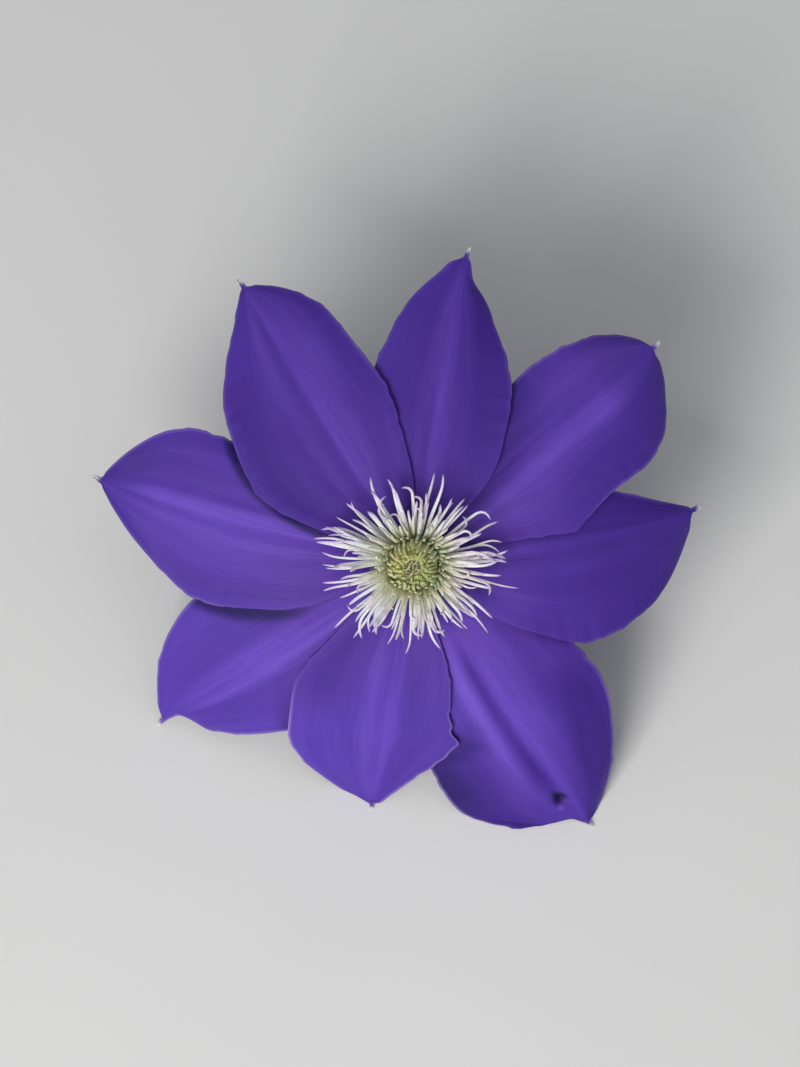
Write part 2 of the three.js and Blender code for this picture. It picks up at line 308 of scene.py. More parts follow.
stalk_way = STALK_WAY + (RING_PLACE[0], RING_PLACE[1], 0)
stalk_line = curve_through(np.vstack([placed(STALK_TOP), stalk_way]), STALK_RINGS)
stalk_side = np.tile((1.0, 0, 0), (STALK_RINGS, 1))
stalk_width = np.full(STALK_RINGS, STALK_RADIUS)
stalk_rings = rod(stalk_line, stalk_side, stalk_width, stalk_width, ribs=STALK_RIBS, rib_share=RIB_SHARE)
stalk_rings[..., 2] = np.maximum(stalk_rings[..., 2], STALK_LOWEST)
stalk_angle = 2 * np.pi * (np.arange(STALK_SIDES) + 0.5) / STALK_SIDES
knob_rings = placed(turned(KNOB, stalk_angle))
stalk_points = np.vstack([stalk_rings.reshape(-1, 3), knob_rings.reshape(-1, 3)])
stalk_faces = skin_of(stalk_rings)
cut_face = len(stalk_faces) - 1
knob_faces = [face[::-1] for face in skin_of(knob_rings, stalk_rings.shape[0] * STALK_SIDES)]
ring_count = STALK_RINGS + len(KNOB)
stalk_along = np.concatenate([np.linspace(0, 1, STALK_RINGS), np.zeros(len(KNOB))])
stalk_rib = np.cos(STALK_RIBS * stalk_angle) / 2 + 0.5
stalk_marks = {
    "along": np.repeat(stalk_along, STALK_SIDES),
    "turn": np.tile(stalk_angle / (2 * np.pi), ring_count),
    "rib": np.tile(stalk_rib, ring_count),
}
make_piece(
    "flower_stalk", stalk_points, stalk_faces + knob_faces, [stalk_skin, cut_end], ["stem"],
    stalk_marks, [cut_face],
)

# Down of the stalk
# Short silky hairs, a little over half a millimetre long, that stand off the stalk and the knob.
# They are thickest towards the flower.

HAIRS = 1500
HAIR_LENGTH = 0.75
HAIR_RADIUS = 0.028
HAIR_LOWEST = 0.02
HAIR_ROOT_GREEN = (0.42, 0.46, 0.30)
HAIR_TIP_PALE = (0.80, 0.78, 0.74)
DOWNY_KNOB_RINGS = len(KNOB) - 5
KNOB_CROWDING = 9.0
OFF_TO_ONE_SIDE = (0.3, 0.5, 0.81)
draw = np.random.default_rng(seed=20)

down_skin, tree, surface = finish_of("pale_down", Sheen_Weight=0.4)
hair_colour = grade(tree, mark_of(tree, "along"), (0, HAIR_ROOT_GREEN), (1, HAIR_TIP_PALE))
tree.links.new(hair_colour, surface.inputs["Base Color"])
tree.links.new(level(tree, mark_of(tree, "along"), (0, 0.6), (1, 0.45)), surface.inputs["Roughness"])

hair_points = []
hair_faces = []
stalk_grid = np.concatenate([stalk_rings, knob_rings[:DOWNY_KNOB_RINGS]])
centre_lines = stalk_grid.mean(axis=1)
crowding = np.concatenate([np.linspace(1.6, 0.5, STALK_RINGS), np.full(DOWNY_KNOB_RINGS, KNOB_CROWDING)])
hair_rings = draw.choice(len(stalk_grid), HAIRS, p=crowding / crowding.sum())
for ring in hair_rings:
    side = draw.integers(STALK_SIDES)
    root = stalk_grid[ring, side]
    out = root - centre_lines[ring]
    out /= np.linalg.norm(out)
    lean = out + draw.normal(0, 0.35, 3)
    tip = root + lean / np.linalg.norm(lean) * HAIR_LENGTH * draw.uniform(0.6, 1.2)
    bend = (root + tip) / 2 + draw.normal(0, 0.05, 3)
    cross = np.cross(out, OFF_TO_ONE_SIDE)
    cross /= np.linalg.norm(cross)
    other = np.cross(out, cross)
    start = len(hair_points)
    for centre, radius in ((root - 0.1 * out, HAIR_RADIUS), (bend, 0.7 * HAIR_RADIUS)):
        for k in range(3):
            turn = 2 * math.pi * k / 3
            hair_points.append(centre + radius * (math.cos(turn) * cross + math.sin(turn) * other))
    hair_points.append(tip)
    for k in range(3):
        after = (k + 1) % 3
        hair_faces.append([start + k, start + after, start + 3 + after, start + 3 + k])
        hair_faces.append([start + 3 + k, start + 3 + after, start + 6])
    hair_faces.append([start + 2, start + 1, start])
hair_points = np.array(hair_points)
hair_points[:, 2] = np.maximum(hair_points[:, 2], HAIR_LOWEST)
hair_marks = {"along": np.tile((0, 0, 0, 0.5, 0.5, 0.5, 1), HAIRS)}
make_piece("stalk_down", hair_points, hair_faces, [down_skin], marks=hair_marks)

# Tepals
# Eight broad violet tepals in one ring, each grown as a single thin blade on a short claw, with
# three ribs sunk into its face, a waved margin and a fine pale point. Neighbours overlap.

TEPAL_ROOT = 2.9
CAD_ROOT = 3.35
ARCH_RISE = 5
ARCH_POWER = 1.9
OVERLAP_GAP = 1.45
RIB_DEPTH = 0.2
RUFFLE_HEIGHT = 0.6
CLAW_END = 6
POINT_HALF_WIDTH = 0.42
POINT_LENGTH = 1.5
BLADE_END = 0.982
LOWEST = 0.352
LANDING = 0.5
BLADE_THICKNESS = 0.42
MARGIN_THICKNESS = 0.16
CLAW_THICKENING = 0.5
POINT_THICKENING = 0.2
TOOTH_SPANS = (6.1, 3.3, 1.9)
TOOTH_HEIGHTS = (0.13, 0.08, 0.04)
CRINKLE_SPANS = (4.6, 2.6)
CRINKLE_HEIGHTS = (0.07, 0.03)
TEPAL_ROWS = 118
TEPAL_COLUMNS = 97

# Counter-clockwise from the right. Pairs are the left and the right side, looking out from the middle.
# lies is 1 where a margin lies over its neighbour and -1 where it lies under it, and lifts is how far
# the rim parts from that neighbour. ends is how far the margins of the free end stand up or hang, and
# beak is how long the narrow end before the point is. nibs are places where the margin steps out, or in
# if negative: side, distance from the axis, half length and how far.
tepals = [
    dict(azimuth=9, reach=56, bend=-2.5, wide=(12, 18.5), widest=0.56, taper=(0.7, 1.5), droop=14,
         lies=(-1, 1), lifts=(0.15, 0.4), ends=(-1, -2), curl=-1, pleat=0.3, beak=(0.6, 0.8), hook=0.2,
         nibs=[]),
    dict(azimuth=41.2, reach=62.4, bend=1.5, wide=(11.8, 17.2), widest=0.48, taper=(3, 2.6), droop=10,
         lies=(-1, 1), lifts=(0.05, 0.15), ends=(-0.5, -3), curl=-3, pleat=0.2, beak=(0.4, 0.6), hook=0.2,
         nibs=[]),
    dict(azimuth=80.7, reach=60.3, bend=1, wide=(12.8, 14.6), widest=0.49, taper=(1.5, 0.9), droop=13,
         lies=(-1, 1), lifts=(0.05, 0.05), ends=(0.5, -2.5), curl=1, pleat=0.3, beak=(0.8, 0.4), hook=-0.3,
         nibs=[(0, 57, 1.6, 0.6), (1, 54, 2.6, -1.2)]),
    dict(azimuth=123.2, reach=63.5, bend=0.5, wide=(18.2, 13.8), widest=0.5, taper=(1.05, 2), droop=12,
         lies=(1, 1), lifts=(0.4, 0.05), ends=(-1, -0.5), curl=-0.5, pleat=0.3, beak=(0.3, 0.6), hook=0.5,
         nibs=[]),
    dict(azimuth=167.7, reach=65.2, bend=1, wide=(17, 15.4), widest=0.54, taper=(1.1, 2.2), droop=12.5,
         lies=(1, -1), lifts=(0.4, 0.4), ends=(0.6, 2), curl=0.5, pleat=0.5, beak=(0.3, 0.3), hook=-0.2,
         nibs=[]),
    dict(azimuth=215.2, reach=64.8, bend=-0.5, wide=(16.8, 16.8), widest=0.55, taper=(0.9, 1.65), droop=22,
         lies=(-1, -1), lifts=(0.05, 0.4), ends=(-1, 0.4), curl=0, pleat=0.5, beak=(4.2, 0.6), hook=0.5,
         nibs=[]),
    dict(azimuth=259.9, reach=55.8, bend=-0.5, wide=(13.6, 19.1), widest=0.66, taper=(0.6, 1.1), droop=20,
         lies=(1, 1), lifts=(0.1, 0.05), ends=(0.2, -1.2), curl=0, pleat=0.15, beak=(0.9, 0.9), hook=0.2,
         nibs=[(0, 35, 1.3, 1.7), (0, 31.6, 0.8, 0.5), (0, 29.2, 0.7, -0.3), (0, 38.6, 0.8, 0.3)]),
    dict(azimuth=301.2, reach=66.9, bend=-1.5, wide=(19.5, 19.2), widest=0.49, taper=(1.5, 3.6), droop=19,
         lies=(-1, -1), lifts=(0.4, 0.1), ends=(-2.5, -1.6), curl=0, pleat=0.9, beak=(0.5, 2.9), hook=-0.3,
         nibs=[(1, 60.4, 1.3, 1.4)]),
]
azimuths = np.array([tepal["azimuth"] for tepal in tepals])
PINCHED_TEPAL = 7
PINCH_PLACE = (56.6, -1.2)
PINCH_RADIUS = 1.1
PINCH_DEPTH = 1.2
PINCH_SHADOW_SPREAD = 2.1


def smooth(value, low, high):
    """Rises softly from 0 to 1 as a value goes from low to high."""
    share = np.clip((value - low) / (high - low), 0, 1)
    return share * share * (3 - 2 * share)


def round_the_flower(azimuth, key):
    """A value that each tepal sets at its own azimuth, blended smoothly between them."""
    values = np.array([tepal[key] for tepal in tepals])
    past = (azimuth - azimuths[0]) % 360
    first = np.searchsorted(azimuths - azimuths[0], past, side="right") - 1
    second = (first + 1) % len(tepals)
    span = (azimuths[second] - azimuths[first]) % 360
    share = (1 - np.cos(np.pi * (past - azimuths[first] + azimuths[0]) / span)) / 2
    return values[first] * (1 - share) + values[second] * share


def arch_height(x, y):
    """The arched surface that all tepals share, so that neighbours follow each other."""
    azimuth = np.degrees(np.arctan2(y, x))
    out = np.hypot(x, y) / round_the_flower(azimuth, "reach")
    return ARCH_RISE * out * (1 - out) - round_the_flower(azimuth, "droop") * out**ARCH_POWER


def halfway_over(index, x, left):
    """How far it is from a tepal's midrib to halfway to its neighbour on that side."""
    to_left = (azimuths[(index + 1) % len(tepals)] - azimuths[index]) % 360
    to_right = (azimuths[index] - azimuths[index - 1]) % 360
    return x * np.tan(np.radians(np.where(left, to_left, to_right) / 2))


def half_width(index, x, left):
    """Half a tepal's width: a narrow claw, a broad blade, and a fine point after the beak."""
    tepal = tepals[index]
    reach = tepal["reach"]
    blade_end = BLADE_END * reach
    wide = np.where(left, *tepal["wide"])
    peak = tepal["widest"] * reach
    claw = halfway_over(index, x, left) * (0.8 + 1.4 * smooth(x, 7, 14))
    rising = np.minimum(claw, wide * np.sin(np.pi / 2 * np.minimum(x / peak, 1)))
    past = np.clip((x - peak) / (blade_end - peak), 0, 1)
    falling = wide * np.cos(np.pi / 2 * past ** np.where(left, *tepal["taper"]))
    beak = np.where(left, *tepal["beak"])
    falling = falling * (1 - 0.8 * smooth(x, blade_end - 1.7 * beak - 0.8, blade_end - beak))
    blade = np.where(x < peak, rising, falling)
    for side, place, length, out in tepal["nibs"]:
        blade = blade + np.where(left == (side == 0), out, 0) * np.exp(-(((x - place) / length) ** 2))
    point = POINT_HALF_WIDTH * np.sqrt(np.clip((reach + 0.12 - x) / POINT_LENGTH, 0.03, 1))
    return np.maximum(blade, point)


def waves(index, x, left, spans, heights):
    """Small uneven waves along a margin, different on every tepal and side."""
    shift = 2.1 * index + np.where(left, 0.0, 4.4)
    total = sum(
        height * np.sin(2 * np.pi * x / span + (k + 1.7) * shift + 0.9 * np.sin(0.31 * x + shift))
        for k, (span, height) in enumerate(zip(spans, heights))
    )
    return total * (0.55 + 0.45 * np.sin(0.23 * x + 1.3 * shift))


def tepal_surface(index, along, across):
    """A tepal's middle surface in the flower's frame, and the distance from its margin."""
    tepal = tepals[index]
    left = across > 0
    x = TEPAL_ROOT + (tepal["reach"] - TEPAL_ROOT) * along
    stage = np.clip((x - CAD_ROOT) / (tepal["reach"] - CAD_ROOT), 0, 1)
    half = half_width(index, x, left)
    lobes = 1 + 0.03 * np.sin(17 * stage + 2.3 * index + across) * np.abs(across)
    teeth = waves(index, x, left, TOOTH_SPANS, TOOTH_HEIGHTS) * smooth(half, 1.2, 5) * smooth(x, 14, 22)
    y = across * half * lobes + np.sign(across) * np.abs(across) ** 5 * teeth
    bow = tepal["bend"] * np.sin(np.pi * stage) + tepal["hook"] * smooth(stage, 0.97, 1)
    turn = math.radians(tepal["azimuth"])
    plan_x = x * math.cos(turn) - (y + bow) * math.sin(turn)
    plan_y = x * math.sin(turn) + (y + bow) * math.cos(turn)

    # Margins part from the shared surface, up where they lie over a neighbour and down where under.
    gap = OVERLAP_GAP * (0.62 + 0.38 * smooth(x, 16, 40))
    lift = np.where(left, *tepal["lies"]) * smooth(x, CAD_ROOT, 7.5) * gap / 2
    part = lift * np.abs(y) / halfway_over(index, x, left)
    rim_lift = np.where(left, *tepal["lies"]) * np.where(left, *tepal["lifts"])
    part = part + rim_lift * smooth(np.abs(across), 0.7, 1) * smooth(x, 8, 18)

    # Three ribs sink into the face, the midrib most, and the blade swells softly on both sides of each.
    ribbed = smooth(stage, 0.1, 0.35) * (1 - smooth(stage, 0.7, 0.97))
    away = np.abs(across)
    wide_ribs = 1.2 * np.exp(-((away / 0.07) ** 2)) + 0.4 * np.exp(-(((away - 0.3) / 0.08) ** 2))
    midrib = np.exp(-((across / 0.115) ** 2))
    swell = 0.16 * np.exp(-(((away - 0.16) / 0.09) ** 2)) + 0.1 * np.exp(-(((away - 0.46) / 0.13) ** 2))
    drift = 0.14 * np.sin(5.2 * across + 7.5 * stage + 1.9 * index) * smooth(away, 0.2, 0.6)
    sunk = ribbed * (RIB_DEPTH * wide_ribs + tepal["pleat"] * midrib - swell * smooth(half, 3, 9) - drift)

    # The free end cups, curls and ruffles, but its point stays flat. The thin margin crinkles finely.
    free = smooth(stage, 0.62, 0.92) * smooth(half, 0.35, 4.5)
    cup = np.where(left, *tepal["ends"]) * across**2 * free
    curl = tepal["curl"] * smooth(stage, 0.75, 1)
    ruffle = RUFFLE_HEIGHT * np.sin(15 * stage + 1.7 * index + 1.5 * across) * across**2 * free
    crinkle = waves(index + 3, x, left, CRINKLE_SPANS, CRINKLE_HEIGHTS)
    crinkle = crinkle * smooth(np.abs(across), 0.55, 1) * smooth(x, 12, 24)
    height = arch_height(plan_x, plan_y) + part + cup + curl + ruffle + crinkle - sunk
    # A small pinched dip near the end of one tepal.
    if index == PINCHED_TEPAL:
        away = np.hypot(x - PINCH_PLACE[0], y - PINCH_PLACE[1]) / PINCH_RADIUS
        height = height - PINCH_DEPTH * np.exp(-(away**2))
    return np.stack([plan_x, plan_y, height], axis=-1), half * (1 - np.abs(across))


def rest_on_surface(points):
    """A tip that reaches the surface bends up and lies on it."""
    lying = placed(points)
    above = lying[..., 2] - LOWEST
    lying[..., 2] = LOWEST + (above + np.sqrt(above**2 + LANDING**2)) / 2
    return lying


def closed_blade(upper, lower):
    """The faces of a thin closed blade between an upper and a lower grid of points."""
    rows, columns = upper.shape[:2]
    i, j = np.meshgrid(np.arange(rows - 1), np.arange(columns - 1), indexing="ij")
    a = (i * columns + j).ravel()
    face = np.stack([a, a + columns, a + columns + 1, a + 1], axis=1)
    under = rows * columns
    back = face[:, ::-1] + under
    grid = np.arange(under).reshape(rows, columns)
    rim = np.concatenate([grid[0, :-1], grid[:-1, -1], grid[-1, :0:-1], grid[:0:-1, 0]])
    after = np.roll(rim, -1)
    edge = np.stack([rim, after, after + under, rim + under], axis=1)
    return face.tolist() + back.tolist() + edge.tolist()


MID_VIOLET = (0.102, 0.040, 0.40)
BLUE_VIOLET = (0.088, 0.043, 0.43)
DARK_SHADE_VIOLET = (0.050, 0.017, 0.25)
WARM_SHADE_VIOLET = (0.098, 0.022, 0.29)
PALE_AND_HIGHLIGHT_VIOLET = (0.225, 0.115, 0.73)
PAINTED_SHADE_VIOLET = (0.012, 0.003, 0.10)
PINCH_SHADOW_VIOLET = (0.010, 0.004, 0.05)
RIM_HIGHLIGHT_VIOLET = (0.36, 0.26, 0.60)
PALE_POINT = (0.80, 0.77, 0.80)
BACK_VIOLET = (0.052, 0.022, 0.24)
BACK_LIGHT_VIOLET = (0.088, 0.045, 0.32)
BACK_BAR = (0.17, 0.125, 0.30)
BACK_RIBS = (0.30, 0.30, 0.30)

tepal_skin, tree, surface = finish_of(
    "violet_tepal", Sheen_Weight=0.05, Sheen_Roughness=0.45, Specular_IOR_Level=0.2
)
along = mark_of(tree, "along")
across = mark_of(tree, "across")
tone = mark_of(tree, "tone")
away = count_up(tree, "ABSOLUTE", across)
broad = effect(tree, fibres, Across=across, Along=along, Seed=tone, Lines=5, Stretch=2.2)
fine = effect(tree, fibres, Across=across, Along=along, Seed=tone, Lines=34, Stretch=3.5)
veins = effect(tree, fibres, Across=across, Along=along, Seed=tone, Lines=115, Stretch=7)
cell = effect(tree, cells, Grain=3000, Patch=55, Seed=tone)

# Towards the foot the face is darker and warmer, a painted shade. Between the ribs run lighter streaks,
# partly paler tissue and partly a painted sheen on the raised blade, and the sunk ribs carry painted shade.
violet = tint(tree, cell["Mottle"], MID_VIOLET, BLUE_VIOLET)
warm_shade = level(tree, along, (0.0, 0.6), (0.3, 0.35), (0.55, 0.1), (1.0, 0.0))
violet = tint(tree, warm_shade, violet, WARM_SHADE_VIOLET)
between = level(
    tree, away, (0.0, 0.6), (0.04, 0.8), (0.1, 1.0), (0.24, 0.35), (0.31, 0.15), (0.44, 0.4), (1.0, 0.1)
)
lit_end = level(tree, along, (0.12, 0.0), (0.4, 0.9), (0.65, 1.0), (0.9, 0.4), (1.0, 0.1))
streak = count_up(tree, "MULTIPLY", between, lit_end)
streak = count_up(tree, "MULTIPLY", streak, level(tree, broad["Fibre"], (0, 0.35), (1, 1.0)))
violet = tint(tree, count_up(tree, "MULTIPLY", streak, 0.28), violet, PALE_AND_HIGHLIGHT_VIOLET)
# Painted highlight bands, broken by the broad fibres.
broken = level(tree, broad["Fibre"], (0, 0.75), (1, 1.0))
highlight_bands = count_up(tree, "MULTIPLY", mark_of(tree, "painted_highlight"), broken)
violet = tint(tree, highlight_bands, violet, PALE_AND_HIGHLIGHT_VIOLET)
# Painted shade in the sunk ribs.
groove_shade = level(tree, away, (0.0, 0.25), (0.03, 0.0), (0.27, 0.0), (0.3, 0.15), (0.34, 0.0))
groove_length = level(tree, along, (0.15, 0.2), (0.4, 0.8), (0.7, 0.6), (0.95, 0))
groove_shade = count_up(tree, "MULTIPLY", groove_shade, groove_length)
violet = tint(tree, groove_shade, violet, DARK_SHADE_VIOLET)
for fibre, dark, light in (
    (broad, (0.86, 0.84, 0.88), (1.05, 1.06, 1.04)),
    (fine, (0.95, 0.92, 0.96), (1.03, 1.05, 1.02)),
    (veins, (0.94, 0.92, 0.95), (1.03, 1.05, 1.02)),
):
    violet = tint(tree, 1.0, violet, grade(tree, fibre["Fibre"], (0, dark), (1, light)), "MULTIPLY")

# Painted shade darkens some faces and flanks more, and the face close under a neighbour's margin. The
# outermost half millimetre of the margin has a painted highlight, uneven and mostly along the outer half.
rim_way = count_up(tree, "MULTIPLY", mark_of(tree, "rim"), 0.25)
rim = level(tree, rim_way, (0.01, 1.0), (0.1, 0.4), (0.18, 0.0))
rim = count_up(tree, "MULTIPLY", rim, level(tree, broad["Fibre"], (0.2, 0.35), (0.8, 0.8)))
rim = count_up(tree, "MULTIPLY", rim, level(tree, along, (0.45, 0.12), (0.62, 1.0)))
rim = count_up(tree, "MULTIPLY", rim, mark_of(tree, "rim_highlight"))
# Painted shade over whole faces, their flanks and the dark bands.
violet = tint(tree, mark_of(tree, "painted_shade_depth"), violet, DARK_SHADE_VIOLET)
# Painted shade close under a neighbour's margin.
violet = tint(tree, mark_of(tree, "shade"), violet, PAINTED_SHADE_VIOLET)
# Painted highlight along the margin.
violet = tint(tree, rim, violet, RIM_HIGHLIGHT_VIOLET)
# Painted shadow in the pinched dip.
violet = tint(tree, mark_of(tree, "pinch_shadow"), violet, PINCH_SHADOW_VIOLET)

# The back has a greyer bar down its middle, with three pale ribs in it.
bar = level(tree, away, (0.0, 1.0), (0.28, 0.95), (0.42, 0.3), (0.6, 0.0))
back_violet = tint(tree, cell["Mottle"], BACK_VIOLET, BACK_LIGHT_VIOLET)
back_ribs = level(tree, away, (0.0, 1.0), (0.05, 0.15), (0.24, 0.15), (0.3, 1.0), (0.36, 0.15))
bar_colour = tint(tree, back_ribs, BACK_BAR, BACK_RIBS)
back_violet = tint(tree, count_up(tree, "MULTIPLY", bar, 0.85), back_violet, bar_colour)
back_violet = tint(tree, 1.0, back_violet, level(tree, fine["Fibre"], (0, 0.75), (1, 1.15)), "MULTIPLY")
# The same painted highlight along the back's margin.
back_violet = tint(tree, rim, back_violet, RIM_HIGHLIGHT_VIOLET)
colour = tint(tree, mark_of(tree, "upper"), back_violet, violet)
colour = tint(tree, level(tree, along, (0.974, 0.0), (0.991, 1.0)), colour, PALE_POINT)
tree.links.new(colour, surface.inputs["Base Color"])
tree.links.new(level(tree, fine["Fibre"], (0, 0.62), (1, 0.5)), surface.inputs["Roughness"])
veining = count_up(tree, "MULTIPLY_ADD", fine["Fibre"], 0.4, broad["Fibre"])
veining = count_up(tree, "MULTIPLY_ADD", veins["Fibre"], 0.3, veining)
veining = count_up(tree, "MULTIPLY_ADD", cell["Grain"], 0.35, veining)
relief_of(tree, surface, veining, 0.04 * MM)

s = np.linspace(-1, 1, TEPAL_COLUMNS)
tepal_across = s * (1.2 - 0.2 * s**2)
tepal_along = 1 - (1 - np.linspace(0, 1, TEPAL_ROWS)) ** 1.15
grid_along, grid_across = np.meshgrid(tepal_along, tepal_across, indexing="ij")
TONES = (3.5, 1.0, 5.5, 2.0, 7.5, 9.0, 6.5, 4.5)
# Painted highlight and painted shade bands along each tepal: place across at the claw and at the point,
# half width, from, to, and strength, shade if negative.
PAINTED_BANDS = (
    ((0, 0, 5, -0.3, 0.42, 0.45), (0, 0, 5, 0.45, 1.4, -0.2), (0.6, 0.6, 0.5, 0.3, 1.4, -0.4)),
    ((-0.3, -0.14, 0.15, 0.0, 0.95, 0.5), (-0.5, -0.5, 0.4, -0.3, 0.6, 0.25),
     (0.5, 0.45, 0.3, 0.5, 1.1, 0.25), (-0.75, -0.82, 0.2, 0.3, 0.95, -0.2)),
    ((-0.12, 0.1, 0.12, 0.0, 0.95, 0.45), (-0.7, -0.7, 0.35, 0.0, 0.95, -0.5),
     (0.5, 0.55, 0.4, 0.3, 1.1, -0.4)),
    ((-0.28, -0.2, 0.12, 0.05, 0.95, 0.5), (0.02, 0.0, 0.13, 0.1, 1.1, 0.5),
     (0.5, 0.25, 0.14, 0.45, 1.0, 0.45), (-0.5, -0.45, 0.2, 0.5, 1.1, 0.3),
     (-0.82, -0.8, 0.14, 0.3, 0.95, -0.3), (0.65, 0.75, 0.3, 0.1, 0.8, -0.4)),
    ((0.12, -0.02, 0.15, 0.12, 0.95, 0.6), (0.45, 0.3, 0.2, 0.25, 1.1, 0.2),
     (-0.66, -0.66, 0.25, 0.6, 1.4, -0.35), (-0.55, -0.5, 0.5, 0.76, 1.4, -1.0),
     (0.75, 0.8, 0.18, 0.25, 0.8, -0.3)),
    ((0.1, 0.03, 0.2, 0.0, 0.95, 0.4), (-0.44, -0.46, 0.16, 0.2, 0.95, -0.35),
     (0.44, 0.42, 0.16, 0.2, 0.95, -0.35)),
    ((-0.15, -0.1, 0.22, 0.15, 1.1, 0.2), (0.42, 0.44, 0.24, 0.2, 1.0, -0.3),
     (-0.7, -0.72, 0.26, 0.05, 0.65, -0.7)),
    ((-0.02, -0.45, 0.15, 0.05, 0.9, 0.55), (0.26, 0.3, 0.14, 0.05, 0.9, 0.35),
     (0.0, -0.12, 0.08, 0.15, 0.9, -0.45), (0.78, 0.68, 0.18, 0.4, 0.95, -0.65),
     (-0.85, -0.85, 0.42, 0.45, 1.4, -0.6), (0, 0, 5, 0.55, 1.4, -0.25)),
)
# How strong each margin's painted highlight is, how much painted shade darkens the whole face, and how
# much more its left and right flanks get.
RIM_HIGHLIGHTS = (0.3, 0.5, 0.25, 0.35, 0.5, 0.9, 1.0, 0.9)
FACE_SHADE = (0.45, 0.2, 0.3, 0.5, 0.12, 0.08, 0.08, 0.0)
FLANK_SHADE = ((0, 0.1), (0, 0.25), (0, 0.25), (0, 0), (0.1, 0.15), (0, 0), (0.1, 0), (0.5, 0.1))
# The painted shade under a neighbour's margin, on the left and the right side: strength, width, from
# where along, and how sharply it ends.
SHADES = (
    ((0.2, 1.2, 0.3, 2), None), ((0.45, 4.6, 0.1, 2), None), (None, None), (None, None),
    (None, (1.0, 1.6, 0.0, 4)), ((0.5, 1.9, 0.5, 2), (1.0, 2.5, 0.26, 4)), (None, None),
    ((0.4, 1.3, 0.2, 2), (1.0, 4.8, 0.44, 2)),
)


def painted_bands_of(index, along, across, sign):
    """How strong a tepal's painted highlight bands, or its painted shade bands, are at each point."""
    total = np.zeros_like(along)
    for at_claw, at_point, wide, start, end, strength in PAINTED_BANDS[index]:
        if strength * sign > 0:
            centre = at_claw + (at_point - at_claw) * along
            window = smooth(along, start, start + 0.2) * (1 - smooth(along, end - 0.2, end))
            total = total + abs(strength) * window * np.exp(-(((across - centre) / wide) ** 2))
    return np.clip(total, 0, 1)


def shade_under(index, along, points):
    """Where a tepal lies under a neighbour it gets painted shade, there and close to that neighbour's
    margin.
    """
    shade = np.zeros(points.shape[:2])
    for side, step in ((0, 1), (1, -1)):
        if SHADES[index][side] is None:
            continue
        strength, wide, start, sharp = SHADES[index][side]
        other = (index + step) % len(tepals)
        reach = tepals[other]["reach"]
        turn = math.radians(tepals[other]["azimuth"])
        x = points[..., 0] * math.cos(turn) + points[..., 1] * math.sin(turn)
        y = points[..., 1] * math.cos(turn) - points[..., 0] * math.sin(turn)
        y = y - tepals[other]["bend"] * np.sin(np.pi * np.clip(x / reach, 0, 1))
        facing = (y > 0) == (side == 1)
        inside = (x > CLAW_END) & (x < reach)
        beyond = np.abs(y) - half_width(other, np.clip(x, CLAW_END, reach), y > 0)
        near = np.exp(-((np.maximum(beyond, 0) / wide) ** sharp)) * smooth(along, start, start + 0.16)
        shade = np.maximum(shade, strength * np.where(facing & inside, near, 0))
    return shade


